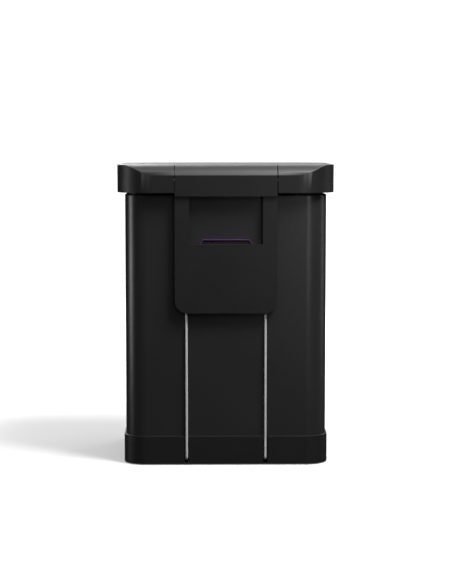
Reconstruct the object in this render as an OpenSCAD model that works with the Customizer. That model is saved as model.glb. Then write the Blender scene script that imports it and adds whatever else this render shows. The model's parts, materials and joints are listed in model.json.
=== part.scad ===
// Manual trash compactor: a step-on bin whose lid carries a fold-down press plate on a scissor linkage.
// The pedal's lever lifts two link rods up the back, and they turn cranks on the lid's hinge shaft.
// Frame: +Z up, front towards -Y, origin under the middle of the whole object, on the floor.

/* [Overall] */
// Height from the floor to the top of the lid
overall_h = 660; // [560:1:760]
// Width over the lid
lid_w = 478; // [430:1:560]
// Depth over the lid
lid_d = 390; // [360:1:460]
// How far the pedal stands in front of the lid
pedal_reach = 33; // [20:1:45]
// Height of the rubber feet below the base
foot_h = 2; // [1:0.5:5]

/* [Lid] */
// Height of the lid's outer band
lid_h = 61; // [58:1:74]
// Radius of the lid's corners in plan
lid_corner_r = 80; // [60:1:100]
// Thickness of the lid's band
lid_wall = 2.5; // [2:0.1:4]
// Thickness of the lid's top
lid_top_t = 3; // [2:0.1:4]
// Radius of the round along the lid's rear top edge
rear_round_r = 38; // [26:0.5:45]
// How far below the top the round meets the rear face
rear_round_h = 22.5; // [15:0.5:25]
// How far the lid stands past the body on every side
lid_overhang = 17.5; // [15:0.5:20]
// Angle that the lid opens to
lid_open = 80; // [60:1:80]

/* [Body and base] */
// Radius of the body's corners in plan
body_corner_r = 45; // [30:1:60]
// Thickness of the body's sheet
body_wall = 1.2; // [0.8:0.1:3]
// Height of the top of the base
base_h = 64; // [60:1:80]
// How far the base stands past the body on every side
base_step = 4; // [4:0.5:8]
// Thickness of the base's wall below its deck
base_wall = 3; // [2.5:0.1:4]
// Depth of the base's wall above its deck, which the body stands in
base_lip = 11; // [6:1:14]
// Thickness of the base's deck
deck_t = 3; // [2.5:0.1:5]

/* [Bucket] */
// Wall of the bucket
bucket_wall = 2.5; // [1.5:0.1:4]
// How much narrower each side of the bucket is at its foot
bucket_draft = 9; // [4:0.5:14]
// Width of the ledge that the bucket hangs on, at the front and sides
rim_ledge = 12; // [8:0.5:16]

/* [Hinge housing] */
// Width of the hinge housing
housing_w = 223; // [216:1:260]
// Length of the housing, from the top of the lid to its lower edge
housing_l = 323; // [290:1:360]
// Height of the housing's head
head_h = 68; // [66:1:82]
// Depth of the housing's head, front to back
head_d = 46; // [46:1:52]
// How far the lower plate is set in from the head
plate_inset = 4; // [3:0.5:5]
// Thickness of the housing's walls
housing_wall = 3; // [2:0.1:3]
// Radius of the housing's lower corners
housing_corner_r = 27; // [15:1:40]
// Width of the hand opening
window_w = 160; // [140:1:162]
// Height of the hand opening
window_h = 104.5; // [80:0.5:130]

/* [Hinge and link rods] */
// Distance from the rear of the lid to the hinge axis
hinge_back = 12; // [11:0.5:14]
// Distance from the top of the lid to the hinge axis
hinge_drop = 34; // [32:0.5:38]
// Diameter of the hinge stubs
shaft_d = 8; // [6:0.5:10]
// Length of the cranks that the link rods turn
crank_l = 22; // [18:0.5:23]
// Diameter of the link rods
rod_d = 5; // [4:0.5:6]
// Distance between the link rods
rod_spacing = 173; // [172:1:178]
// Gap between the link rods and the body
rod_gap = 1; // [0.6:0.1:1.5]

/* [Pedal] */
// Width of the pedal
pedal_w = 130; // [90:1:160]
// Depth of the pedal pad
pedal_d = 46; // [40:1:60]
// Radius of the pedal's rounded nose, half its thickness
pedal_nose_r = 5; // [4:0.5:7]
// Height of the pedal lever's pivot
pivot_h = 27; // [26:0.5:30]
// Distance from the middle of the body forward to the pivot
pivot_shift = 15; // [0:1:30]
// Diameter of the pedal's pivot pin
pivot_d = 8; // [6:0.5:10]

/* [Press] */
// Width of the press plate
press_w = 360; // [340:1:374]
// Drop of the press plate from the lid
press_drop = 120; // [80:1:120]
// Length of the scissor arms between their pivots
arm_l = 300; // [290:1:310]
// Height from the lower to the upper pivots when folded
fold_h = 31.4; // [30:0.1:33]
// Width of the scissor arms
arm_w = 18; // [16:0.5:18]
// Thickness of the scissor arms
arm_t = 3; // [2:0.1:3]
// Diameter of the scissor's cross rods
cross_d = 8; // [6:0.5:8]

/* [Odour filter] */
// Width of the filter cassette
filter_w = 114; // [90:1:120]
// Height of the filter cassette
filter_h = 118; // [90:1:130]
// How far the cassette's top shows in the hand opening
filter_show = 10.5; // [6:0.5:16]
// Width of the cassette's cut top corners
filter_cut = 7; // [4:0.5:10]

/* [Hidden] */
$fn = 96;

plastic_black = [0.10, 0.10, 0.105];
body_black = [0.13, 0.13, 0.135];
rubber_black = [0.06, 0.06, 0.06];
steel = [0.72, 0.72, 0.74];
dark_steel = [0.35, 0.35, 0.37];
grey_plastic = [0.28, 0.28, 0.30];
purple = [0.34, 0.14, 0.42];

eps = 0.01;
over = 1;               // how far a cut runs past the face it leaves
run_gap = 0.075;        // radial clearance of a running fit
free_gap = 0.6;         // gap between pieces that pass each other
seat_gap = 0.3;         // gap round a piece that drops into its seat

// Outer faces, front to back
total_d = lid_d + pedal_reach;
rear_y = total_d / 2;
mid_y = rear_y - lid_d / 2;
body_w = lid_w - 2 * lid_overhang;
body_d = lid_d - 2 * lid_overhang;
body_rear_y = rear_y - lid_overhang;
body_front_y = body_rear_y - body_d;
base_w = body_w + 2 * base_step;
base_d = body_d + 2 * base_step;
base_rear_y = body_rear_y + base_step;
base_corner_r = body_corner_r + base_step;

// Hinge
lid_z = overall_h - lid_h;
hinge_y = rear_y - hinge_back;
hinge_z = overall_h - hinge_drop;
head_front_y = rear_y - head_d;
head_z = overall_h - head_h;
head_nose_r = 4;
// Centre of the round along the rear top edge
rear_arc_y = rear_y - sqrt(pow(rear_round_r, 2) - pow(rear_round_r - rear_round_h, 2));
swing_gap = 1.5;
// The lid's lower rear edge swings past the rim at this radius
swing_r = sqrt(pow(hinge_back, 2) + pow(hinge_z - lid_z, 2));
rim_z = hinge_z - swing_r - swing_gap;
// Farthest point of the housing's head from the axis, and the lid's cut-out in front of it
head_reach_y = hinge_y - head_front_y - head_nose_r;
head_reach = sqrt(pow(head_reach_y, 2) + pow(hinge_drop - head_nose_r, 2)) + head_nose_r;
notch_y = hinge_y - max(
    hinge_y - head_front_y + swing_gap,
    sqrt(pow(head_reach + 1, 2) - pow(hinge_drop - lid_top_t, 2))
);
notch_gap = 1.5;
notch_w = housing_w + 2 * notch_gap;
cheek_t = 4;
liner_notch_y = head_front_y - 12;

// Deck and base
deck_z = base_h - base_lip;
cover_t = 2;
cover_gap = 0.5;
ear_x = 84;
ear_t = 4;
boss_r = 6;

// Body top: the collar's lip caps the shell, and the bucket hangs in its opening
lip_t = 2.5;
collar_skirt = 28;
collar_wall = 2.5;
opening_w = body_w - 2 * body_wall - 2 * rim_ledge;
opening_front_y = body_front_y + body_wall + rim_ledge;
opening_rear_y = head_front_y - 4;
opening_d = opening_rear_y - opening_front_y;
opening_y = (opening_rear_y + opening_front_y) / 2;
opening_r = 36;
bucket_seat_gap = 1.5;
bucket_w = opening_w - 2 * bucket_seat_gap;
bucket_d = opening_d - 2 * bucket_seat_gap;
flange_t = 3;
flange_side = 5;
flange_end = 2;
flange_z = rim_z + flange_t;
bucket_front_in = opening_front_y + bucket_seat_gap + bucket_wall;

// Cranks and link rods
crank_rest = lid_open / 2;                       // below level when shut, the same above it when open
rod_stroke = 2 * crank_l * sin(crank_rest);
rod_y = body_rear_y + rod_gap + rod_d / 2;
pin_y = hinge_y - crank_l * cos(crank_rest);
pin_z = hinge_z - crank_l * sin(crank_rest);
bend_z = pin_z - (rod_y - pin_y);                // the rod leans forward at 45 degrees from here
crank_t = 4;
hub_l = 9;
crank_gap = 1;
crank_x = rod_spacing / 2 + rod_d / 2 + crank_gap;  // inner face of the crank
crank_slop = 1;                                  // play across the crank's slot
hook_reach = crank_x + crank_t + 2.5;            // how far out the rod's upper hook ends
hook_y = rod_y - 19;                             // how far forward the lower hook ends

// Pedal lever, drawn level about its pivot and then tipped to its rest angle
pivot_y = mid_y - pivot_shift;
tab_t = 3;
tab_y = rod_y - 14;                              // middle of the lever's rear tabs
tab_l = tab_y - pivot_y;
lever_tip = asin(rod_stroke / 2 / tab_l);
hook_z = pivot_h - tab_l * tan(lever_tip);
lever_x = 78;                                    // inner face of the lever's side bars
lever_t = 4;
lever_h = 12;
nose_l = (pivot_y + total_d / 2 - pedal_nose_r) / cos(lever_tip);
slot_w = 9;
slot_z = foot_h + 2.5;
mouth_w = pedal_w + 12;

// Press and its scissor
plate_t = 7;
plate_lip = 3;
upper_z = overall_h - 15;
lower_z = upper_z - fold_h;
plate_z = lower_z - 10.6;                        // top of the press plate
rail_t = 2.5;
pivot_x = -arm_l / 2;
fold_a = asin(fold_h / arm_l);
// The arms turn by this much for each millimetre of drop, and the slots take up what is left over
arm_rate = 0.2;
scissor_slop = 1.4;
fold_x = pivot_x + arm_l * cos(fold_a);
drop_x = pivot_x + arm_l * cos(fold_a + arm_rate * press_drop);
press_rear_y = head_front_y - 27;
// The dropped plate's front edge swings out past the bucket's front wall
press_clear = 9;
press_u = hinge_z - (plate_z - plate_t) + press_drop;
press_front_y = hinge_y - sqrt(pow(hinge_y - bucket_front_in - press_clear, 2) - pow(press_u, 2));
press_d = press_rear_y - press_front_y;
press_y = (press_rear_y + press_front_y) / 2;
rail_y = 90;                                     // inner face of each rail from the middle of the press
outer_y = rail_y - free_gap - arm_t;             // inner face of the outer arms
inner_y = outer_y - free_gap - arm_t;            // inner face of the inner arms
cross_l = 2 * (rail_y + rail_t + 2);
mid_pin_d = 6;
lock_x = 115;
lock_w = 14;
lock_travel = 6;

// Filter cassette, in the gap behind the housing's lower plate
plate_y = rear_y - plate_inset;                  // outer face of the housing's lower plate
pocket_y = plate_y - housing_wall;               // its inner face
filter_t = pocket_y - body_rear_y - 2;
window_z = head_z - window_h;
filter_top = window_z + filter_show;
filter_z = filter_top - filter_h;
filter_rim = 1.3;
ledge_t = 2;

// ---------- shapes that repeat ----------

// Rectangle with round corners, centred
module rounded_rect(w, d, r) {
    square([w - 2 * r, d], center = true);
    square([w, d - 2 * r], center = true);
    for (x = [-1, 1], y = [-1, 1])
        translate([x * (w / 2 - r), y * (d / 2 - r)]) circle(r);
}

// Upright block with round corners in plan
module rounded_block(w, d, r, h) {
    linear_extrude(h) rounded_rect(w, d, r);
}

// Upright tube with round corners in plan
module rounded_tube(w, d, r, wall, h) {
    linear_extrude(h) difference() {
        rounded_rect(w, d, r);
        rounded_rect(w - 2 * wall, d - 2 * wall, r - wall);
    }
}

// Extrudes a profile drawn in Y and Z along X, about x = 0
module along_x(length) {
    rotate([90, 0, 90]) linear_extrude(length, center = true) children();
}

// Extrudes a profile drawn in X and Z along Y, from y = 0 towards -Y
module along_y(length) {
    rotate([90, 0, 0]) linear_extrude(length) children();
}

module rod_x(d, length) {
    rotate([0, 90, 0]) cylinder(d = d, h = length, center = true);
}

module rod_y_way(d, length) {
    rotate([90, 0, 0]) cylinder(d = d, h = length, center = true);
}

// Both sides: the piece as drawn and its mirror image across the YZ plane
module both_sides() {
    children();
    mirror([1, 0, 0]) children();
}

// Both ends of the press, front and rear, about its own middle
module both_ends() {
    for (s = [-1, 1]) translate([0, press_y, 0]) scale_y(s) children();
}

module scale_y(s) {
    if (s < 0) mirror([0, 1, 0]) children();
    else children();
}

// Pan-head screw, head up, its seat at the origin
module screw(head_d, head_h, shank_d, shank_l) {
    cylinder(d = head_d, h = head_h);
    translate([0, 0, -shank_l]) cylinder(d = shank_d, h = shank_l + eps);
}

// ---------- base ----------

boss_places = [for (x = [-1, 1], y = [-1, 1]) [x * (base_w / 2 - 36), mid_y + y * (base_d / 2 - 30)]];
screw_hole_d = 3.2;

module base_tray() color(plastic_black) difference() {
    union() {
        translate([0, mid_y, foot_h]) difference() {
            rounded_block(base_w, base_d, base_corner_r, base_h - foot_h);
            translate([0, 0, -over])
                rounded_block(base_w - 2 * base_wall, base_d - 2 * base_wall, base_corner_r - base_wall,
                    deck_z - deck_t - foot_h + over);
            translate([0, 0, deck_z - foot_h])
                rounded_block(body_w + 2 * seat_gap, body_d + 2 * seat_gap, body_corner_r + seat_gap,
                    base_lip + over);
        }
        // Ears for the pedal's pivot pin
        both_sides() translate([ear_x, pivot_y - 11, pivot_h - 9])
            cube([ear_t, 22, deck_z - deck_t - pivot_h + 9 + eps]);
        // Bosses for the bottom cover's screws
        for (p = boss_places) translate([p.x, p.y, foot_h + cover_t])
            cylinder(r = boss_r, h = deck_z - deck_t - foot_h - cover_t + eps);
    }
    translate([0, pivot_y, pivot_h]) rod_x(pivot_d, 2 * (ear_x + ear_t + over));
    for (p = boss_places) translate([p.x, p.y, 0]) cylinder(d = screw_hole_d, h = foot_h + cover_t + 14);
    // Slots for the link rods: shallow all the way up, and through the wall where the hooks travel
    both_sides() {
        translate([rod_spacing / 2 - slot_w / 2, body_rear_y + seat_gap, slot_z])
            cube([slot_w, base_step + over, base_h]);
        translate([rod_spacing / 2 - slot_w / 2, base_rear_y - base_wall - over, slot_z])
            cube([slot_w, base_wall + 2 * over, deck_z - deck_t - slot_z - 1]);
    }
    // Mouth for the pedal
    translate([-mouth_w / 2, mid_y - base_d / 2 - over, slot_z + 1])
        cube([mouth_w, base_wall + 2 * over, deck_z - deck_t - slot_z - 2]);
}

module base_bottom_cover() color(plastic_black) translate([0, 0, foot_h]) difference() {
    translate([0, mid_y, 0])
        rounded_block(base_w - 2 * base_wall - 2 * cover_gap, base_d - 2 * base_wall - 2 * cover_gap,
            base_corner_r - base_wall - cover_gap, cover_t);
    for (p = boss_places) translate([p.x, p.y, -over]) cylinder(d = screw_hole_d, h = cover_t + 2 * over);
}

foot_d = 26;
foot_places = [for (x = [-1, 1], y = [-1, 1]) [x * (base_w / 2 - 68), mid_y + y * (base_d / 2 - 30)]];

module rubber_feet() color(rubber_black)
    for (p = foot_places) translate([p.x, p.y, 0]) cylinder(d = foot_d, h = foot_h);

module base_screws() color(dark_steel)
    for (p = boss_places) translate([p.x, p.y, foot_h]) mirror([0, 0, 1]) screw(6.5, 1.4, screw_hole_d, 14);

module pedal_pivot_pin() color(steel) translate([0, pivot_y, pivot_h])
    rod_x(pivot_d, 2 * (ear_x + ear_t + 1));

spring_wire = 2;

module pedal_return_spring() color(steel) translate([0, pivot_y, pivot_h]) difference() {
    rod_x(pivot_d + 2 * run_gap + 2 * spring_wire, 28);
    rod_x(pivot_d + 2 * run_gap, 28 + 2 * over);
}

// ---------- pedal ----------

// Places a piece drawn level about the lever's pivot at its rest angle, with the pedal up
module on_lever() {
    translate([0, pivot_y, pivot_h]) rotate([-lever_tip, 0, 0]) children();
}

front_bar_y = -(pivot_y - body_front_y) + 16;    // from the pivot to the lever's front cross plate
tongue_w = 90;
tongue_t = 4;
tab_hole_d = rod_d + 1.5;

module pedal_lever() color(dark_steel) on_lever() difference() {
    union() {
        both_sides() {
            translate([lever_x, front_bar_y - 10, -lever_h / 2])
                cube([lever_t, tab_l / cos(lever_tip) - front_bar_y + 10 + tab_t / 2, lever_h]);
            // Tab that the rod's lower hook passes through
            translate([lever_x, tab_l / cos(lever_tip) - tab_t / 2, -lever_h / 2])
                cube([rod_spacing / 2 - lever_x + 7, tab_t, lever_h]);
            translate([lever_x, 0, 0]) rotate([0, 90, 0]) cylinder(d = pivot_d + 8, h = lever_t);
        }
        translate([-lever_x - eps, front_bar_y - 10, -tongue_t / 2])
            cube([2 * (lever_x + eps), 24, tongue_t]);
        translate([-tongue_w / 2, -nose_l + 4, -tongue_t / 2])
            cube([tongue_w, nose_l + front_bar_y - 4, tongue_t]);
    }
    rod_x(pivot_d + 2 * run_gap, 2 * (lever_x + lever_t + over));
    both_sides() translate([rod_spacing / 2, tab_l / cos(lever_tip), 0])
        rod_y_way(tab_hole_d, tab_t + 2 * over);
}

module pedal_pad() color(plastic_black) on_lever() difference() {
    union() {
        translate([-pedal_w / 2, -nose_l, -pedal_nose_r])
            cube([pedal_w, pedal_d - pedal_nose_r, 2 * pedal_nose_r]);
        translate([0, -nose_l, 0]) rod_x(2 * pedal_nose_r, pedal_w);
    }
    // Socket that slides over the lever's tongue
    translate([-tongue_w / 2 - seat_gap, -nose_l + 4 - seat_gap, -tongue_t / 2 - seat_gap])
        cube([tongue_w + 2 * seat_gap, pedal_d, tongue_t + 2 * seat_gap]);
    // Grip grooves across the top
    for (k = [0:4]) translate([0, -nose_l + 3 + 7 * k, pedal_nose_r]) rod_x(2, pedal_w - 16);
}

// ---------- link rods ----------

bend_r = 6;
knuckle_d = rod_d + 0.4;                         // forged knuckles at the rod's two upper corners
lean = 45;

// One rod on the +X side: lower hook, straight run, lean towards the crank, and upper hook
module link_rod() {
    translate([rod_spacing / 2, 0, 0]) {
        translate([0, (rod_y - bend_r + hook_y) / 2, hook_z]) rod_y_way(rod_d, rod_y - bend_r - hook_y);
        translate([0, rod_y - bend_r, hook_z + bend_r]) rotate([90, 0, 90]) rotate([0, 0, -90])
            rotate_extrude(angle = 90) translate([bend_r, 0]) circle(d = rod_d);
        translate([0, rod_y, hook_z + bend_r]) cylinder(d = rod_d, h = bend_z - hook_z - bend_r);
        translate([0, rod_y, bend_z]) {
            sphere(d = knuckle_d);
            rotate([lean, 0, 0]) cylinder(d = rod_d, h = sqrt(2) * (pin_z - bend_z));
        }
        translate([0, pin_y, pin_z]) {
            sphere(d = knuckle_d);
            rotate([0, 90, 0]) cylinder(d = rod_d, h = hook_reach - rod_spacing / 2);
        }
    }
}

module link_rod_left() color(steel) mirror([1, 0, 0]) link_rod();

module link_rod_right() color(steel) link_rod();

cap_l = 3;

// Push-on caps that keep the lower hooks in the lever
module rod_end_caps() color(rubber_black) both_sides()
    translate([rod_spacing / 2, hook_y - cap_l / 2, hook_z]) rod_y_way(rod_d + 3, cap_l);

// ---------- body ----------

// Screws that hold the hinge housing, as [x, z]
housing_screw_x = rod_spacing / 2 + 13;
housing_screw_z = [overall_h - housing_l + 34, window_z + 20];
housing_screw_d = 4;
vent_count = 6;
vent_w = 70;
vent_h = 4;

module body_shell() color(body_black) difference() {
    translate([0, mid_y, deck_z])
        rounded_tube(body_w, body_d, body_corner_r, body_wall, rim_z - lip_t - deck_z);
    for (x = [-1, 1], z = housing_screw_z) translate([x * housing_screw_x, body_rear_y, z])
        rod_y_way(housing_screw_d + 2 * seat_gap, 4 * body_wall);
    // Vents into the filter cassette
    for (k = [0:vent_count - 1])
        translate([-vent_w / 2, body_rear_y - 2 * body_wall, filter_z + 18 + 2.5 * vent_h * k])
            cube([vent_w, 4 * body_wall, vent_h]);
}

module rim_collar() color(plastic_black) difference() {
    union() {
        translate([0, mid_y, rim_z - lip_t]) rounded_block(body_w, body_d, body_corner_r, lip_t);
        translate([0, mid_y, rim_z - collar_skirt])
            rounded_tube(body_w - 2 * body_wall - 2 * seat_gap, body_d - 2 * body_wall - 2 * seat_gap,
                body_corner_r - body_wall - seat_gap, collar_wall, collar_skirt);
        // Stiffening rib round the opening
        translate([0, opening_y, rim_z - 12])
            rounded_tube(opening_w + 2 * collar_wall, opening_d + 2 * collar_wall, opening_r + collar_wall,
                collar_wall, 12);
    }
    translate([0, opening_y, rim_z - 2 * collar_skirt])
        rounded_block(opening_w, opening_d, opening_r, 3 * collar_skirt);
}

bucket_z = deck_z + 1;
bucket_floor = 3;

// Tapered bucket body, inset by the given amount, from height z to the rim
module bucket_form(inset, z) {
    foot_scale_x = (bucket_w - 2 * bucket_draft) / bucket_w;
    foot_scale_y = (bucket_d - 2 * bucket_draft) / bucket_d;
    top_w = bucket_w - 2 * inset;
    top_d = bucket_d - 2 * inset;
    translate([0, opening_y, rim_z]) mirror([0, 0, 1])
        linear_extrude(rim_z - z, scale = [foot_scale_x, foot_scale_y], slices = 1, $fn = 48)
            rounded_rect(top_w, top_d, opening_r - bucket_seat_gap - inset);
}

module inner_bucket() color(grey_plastic) difference() {
    union() {
        bucket_form(0, bucket_z);
        translate([0, opening_y, rim_z])
            rounded_block(opening_w + 2 * flange_side, opening_d + 2 * flange_end, opening_r + 2, flange_t,
                $fn = 48);
    }
    bucket_form(bucket_wall, bucket_z + bucket_floor);
    translate([0, opening_y, rim_z - eps])
        rounded_block(bucket_w - 2 * bucket_wall, bucket_d - 2 * bucket_wall,
            opening_r - bucket_seat_gap - bucket_wall, flange_t + over, $fn = 48);
}

ring_t = 2;
ring_h = 15;
ring_gap = 0.8;

module bag_ring() color(plastic_black) translate([0, opening_y, flange_z - ring_h])
    rounded_tube(bucket_w - 2 * bucket_wall - 2 * ring_gap, bucket_d - 2 * bucket_wall - 2 * ring_gap,
        opening_r - bucket_seat_gap - bucket_wall - ring_gap, ring_t, ring_h);

// ---------- hinge housing ----------

// Section under the rear round, centre to rear face: it leaves the top level and ends in a crease
module rear_arc(inset, top, bottom) {
    r = rear_round_r - inset;
    reach = rear_y - inset - rear_arc_y;
    drop = r - sqrt(pow(r, 2) - pow(reach, 2));
    translate([rear_arc_y - eps, bottom]) square([reach + eps, top - drop - bottom]);
    intersection() {
        translate([rear_arc_y, top - r]) circle(r);
        translate([rear_arc_y - eps, top - drop - eps]) square([reach + eps, drop + over]);
    }
}

// Section of the housing's head in Y and Z, inset by a wall, with a round along both top edges
module head_section(inset) {
    front = head_front_y + inset;
    top = overall_h - inset;
    nose_r = max(head_nose_r - inset, 1);
    union() {
        translate([front, rim_z]) square([rear_arc_y - front, top - nose_r - rim_z]);
        translate([front + nose_r, rim_z]) square([rear_arc_y - front - nose_r, top - rim_z]);
        translate([front + nose_r, top - nose_r]) circle(nose_r);
        rear_arc(inset, top, rim_z);
    }
}

module plate_outline(inset) {
    w = housing_w - 2 * inset;
    r = housing_corner_r - inset;
    low = overall_h - housing_l + inset;
    translate([-w / 2, low + r]) square([w, head_z - low - r + lip_t]);
    translate([-w / 2 + r, low]) square([w - 2 * r, r + eps]);
    for (x = [-1, 1]) translate([x * (w / 2 - r), low + r]) circle(r);
}

bush_d = shaft_d + 4;

module hinge_housing() color(plastic_black) difference() {
    union() {
        // Head: a hollow cap over the hinge
        difference() {
            union() {
                along_x(housing_w) head_section(0);
                translate([-housing_w / 2, body_rear_y + seat_gap, head_z])
                    cube([housing_w, rear_y - body_rear_y - seat_gap, rim_z - head_z + eps]);
            }
            along_x(housing_w - 2 * housing_wall) head_section(housing_wall);
            translate([-housing_w / 2 + housing_wall, body_rear_y, head_z - over])
                cube([housing_w - 2 * housing_wall, rear_y - housing_wall - body_rear_y,
                    rim_z - head_z + 2 * over]);
            // Room over the collar's rear ledge
            translate([-housing_w / 2 + housing_wall, head_front_y + housing_wall, rim_z - over])
                cube([housing_w - 2 * housing_wall, head_d - 2 * housing_wall, 2 * over]);
        }
        // Lower plate and the wall round its edge
        difference() {
            translate([0, plate_y, 0]) along_y(plate_y - body_rear_y) plate_outline(0);
            translate([0, pocket_y, 0]) along_y(pocket_y - body_rear_y + over) plate_outline(housing_wall);
        }
        // Screw bosses against the body
        for (x = [-1, 1], z = housing_screw_z)
            translate([x * housing_screw_x, (pocket_y + body_rear_y) / 2, z])
                rod_y_way(housing_screw_d + 4, pocket_y - body_rear_y + 2 * eps);
        // Ledges that the filter cassette stands on, and guides beside it
        both_sides() {
            translate([filter_w / 2 - 12, body_rear_y + 1, filter_z - ledge_t - seat_gap])
                cube([14, pocket_y - body_rear_y - 1 + eps, ledge_t]);
            translate([filter_w / 2 + free_gap, body_rear_y + 1, filter_z - ledge_t - seat_gap])
                cube([ledge_t, pocket_y - body_rear_y - 1 + eps, 0.75 * filter_h]);
        }
    }
    // Hand opening
    translate([-window_w / 2, body_rear_y - over, window_z])
        cube([window_w, rear_y - body_rear_y + 2 * over, head_z - window_z]);
    // Seats of the hinge bushes
    translate([0, hinge_y, hinge_z]) rod_x(bush_d, housing_w + 2 * over);
    // Screw holes
    for (x = [-1, 1], z = housing_screw_z) translate([x * housing_screw_x, body_rear_y, z])
        rod_y_way(housing_screw_d, 15);
    // Ways out at the bottom for the link rods
    both_sides() translate([rod_spacing / 2 - slot_w / 2, body_rear_y - over, overall_h - housing_l - over])
        cube([slot_w, pocket_y - body_rear_y + over, housing_wall + 2 * over]);
}

liner_wall = 2;
liner_h = 20;
liner_w = window_w - 4;

// Pan that closes the head's underside, so that fingers in the hand opening stay clear of the hinge
module handle_liner() color(plastic_black) difference() {
    translate([-liner_w / 2, head_front_y + housing_wall + seat_gap, rim_z + seat_gap])
        cube([liner_w, head_d - 2 * housing_wall - 2 * seat_gap, liner_h]);
    translate([-liner_w / 2 + liner_wall, head_front_y + housing_wall + seat_gap + liner_wall,
        rim_z + seat_gap - over])
        cube([liner_w - 2 * liner_wall, head_d - 2 * housing_wall - 2 * seat_gap - 2 * liner_wall,
            liner_h - liner_wall + over]);
}

bush_flange_t = 1;

module hinge_bushes() color(grey_plastic) both_sides()
    translate([housing_w / 2 - housing_wall / 2, hinge_y, hinge_z]) difference() {
        union() {
            rod_x(bush_d, housing_wall);
            translate([-housing_wall / 2 - bush_flange_t / 2, 0, 0]) rod_x(bush_d + 4, bush_flange_t);
        }
        rod_x(shaft_d + 2 * run_gap, housing_wall + 4 * bush_flange_t);
    }

damper_l = 7;
damper_d = 2 * (hinge_back - housing_wall) - 1;
damper_x = crank_x + hub_l + 1;

// Rotary damper round one stub, with the arm that fixes it to the front of the head
module soft_close_damper() color(grey_plastic)
    translate([damper_x + damper_l / 2, hinge_y, hinge_z]) difference() {
        union() {
            rod_x(damper_d, damper_l);
            translate([-damper_l / 2, head_front_y + housing_wall - hinge_y, -4])
                cube([damper_l, hinge_y - head_front_y - housing_wall, 8]);
        }
        rod_x(shaft_d + 2 * run_gap, damper_l + 2 * over);
    }

module housing_screws() color(dark_steel)
    for (x = [-1, 1], z = housing_screw_z) translate([x * housing_screw_x, body_rear_y - body_wall, z])
        rotate([90, 0, 0]) screw(8, 2.4, housing_screw_d, 7);

guide_h = 8;

// Clips that steady the link rods where they leave the housing
module rod_guides() color(grey_plastic) both_sides() difference() {
    translate([rod_spacing / 2 - 5, body_rear_y + 0.2, overall_h - housing_l + 30])
        cube([10, pocket_y - body_rear_y - 0.2, guide_h]);
    translate([rod_spacing / 2, rod_y, 0]) cylinder(d = rod_d + 2 * seat_gap, h = overall_h);
}

// ---------- lid ----------

// Section of the lid in Y and Z: round along its rear top edge
module lid_section(inset) {
    front = rear_y - lid_d + inset;
    top = overall_h - (inset > 0 ? lid_top_t : 0);
    translate([front, lid_z - over]) square([rear_arc_y - front, top - lid_z + over]);
    rear_arc(inset, top, lid_z - over);
}

module lid_form(inset) {
    intersection() {
        translate([0, mid_y, lid_z - (inset > 0 ? over : 0)])
            rounded_block(lid_w - 2 * inset, lid_d - 2 * inset, lid_corner_r - inset, lid_h + 2 * over);
        along_x(lid_w + 2 * over) lid_section(inset);
    }
}

panel_w = 370;
panel_t = 1.5;
panel_front_y = rear_y - lid_d + 44;
panel_rear_y = notch_y - 22;
panel_d = panel_rear_y - panel_front_y;
panel_y = (panel_rear_y + panel_front_y) / 2;
panel_r = 52;
panel_gap = 0.6;

module lid_shell() color(plastic_black) difference() {
    lid_form(0);
    difference() {
        lid_form(lid_wall);
        // Cheeks beside the housing carry the hinge stubs
        both_sides() translate([notch_w / 2, notch_y - 8, lid_z])
            cube([cheek_t, rear_y - notch_y + 8, lid_h]);
    }
    translate([-notch_w / 2, notch_y, lid_z - over])
        cube([notch_w, rear_y - notch_y + over, lid_h + 2 * over]);
    translate([0, hinge_y, hinge_z]) rod_x(shaft_d, notch_w + 2 * cheek_t + 2 * over);
    // Recess for the top panel
    translate([0, panel_y, overall_h - panel_t]) rounded_block(panel_w, panel_d, panel_r, panel_t + over);
}

module lid_top_panel() color(body_black) translate([0, panel_y, overall_h - panel_t])
    rounded_block(panel_w - 2 * panel_gap, panel_d - 2 * panel_gap, panel_r - panel_gap, panel_t);

liner_t = 2;
liner_z = lid_z + 2;
liner_open_w = press_w + 12;
liner_open_front = press_front_y - 6;
liner_open_rear = press_rear_y + 4;
liner_open_y = (liner_open_rear + liner_open_front) / 2;

// Flat frame that closes the lid's underside round the press
module lid_liner() color(plastic_black) difference() {
    translate([0, mid_y, liner_z])
        rounded_block(lid_w - 2 * lid_wall - 2 * seat_gap, lid_d - 2 * lid_wall - 2 * seat_gap,
            lid_corner_r - lid_wall - seat_gap, liner_t);
    translate([0, liner_open_y, liner_z - over])
        rounded_block(liner_open_w, liner_open_rear - liner_open_front, 26, liner_t + 2 * over);
    translate([-notch_w / 2 - cheek_t - seat_gap, liner_notch_y, liner_z - over])
        cube([notch_w + 2 * cheek_t + 2 * seat_gap, rear_y - liner_notch_y, liner_t + 2 * over]);
}

seal_h = liner_z - flange_z - seat_gap;
seal_w = opening_w + 2 * flange_side - 6;
seal_d = opening_d - 2;

// Soft gasket under the lid, over the bucket's rim
module lid_seal() color(rubber_black) difference() {
    translate([0, opening_y, liner_z - seal_h]) rounded_tube(seal_w, seal_d, opening_r - 2, 4, seal_h);
    translate([-notch_w / 2 - cheek_t - seat_gap, liner_notch_y - 2, liner_z - seal_h - over])
        cube([notch_w + 2 * cheek_t + 2 * seat_gap, rear_y - liner_notch_y, seal_h + 2 * over]);
}

stub_end = notch_w / 2 + cheek_t + 3;
clip_t = 1.2;

// Short shafts, one at each end of the housing, that the lid's cheeks and the cranks are keyed to
module hinge_stubs() color(steel) both_sides() translate([(crank_x + stub_end) / 2, hinge_y, hinge_z])
    rod_x(shaft_d, stub_end - crank_x);

module stub_clips() color(dark_steel) both_sides()
    translate([notch_w / 2 + cheek_t + seat_gap + clip_t / 2, hinge_y, hinge_z]) difference() {
        rod_x(shaft_d + 6, clip_t);
        rod_x(shaft_d, clip_t + 2 * over);
    }

crank_w = 13;

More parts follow.
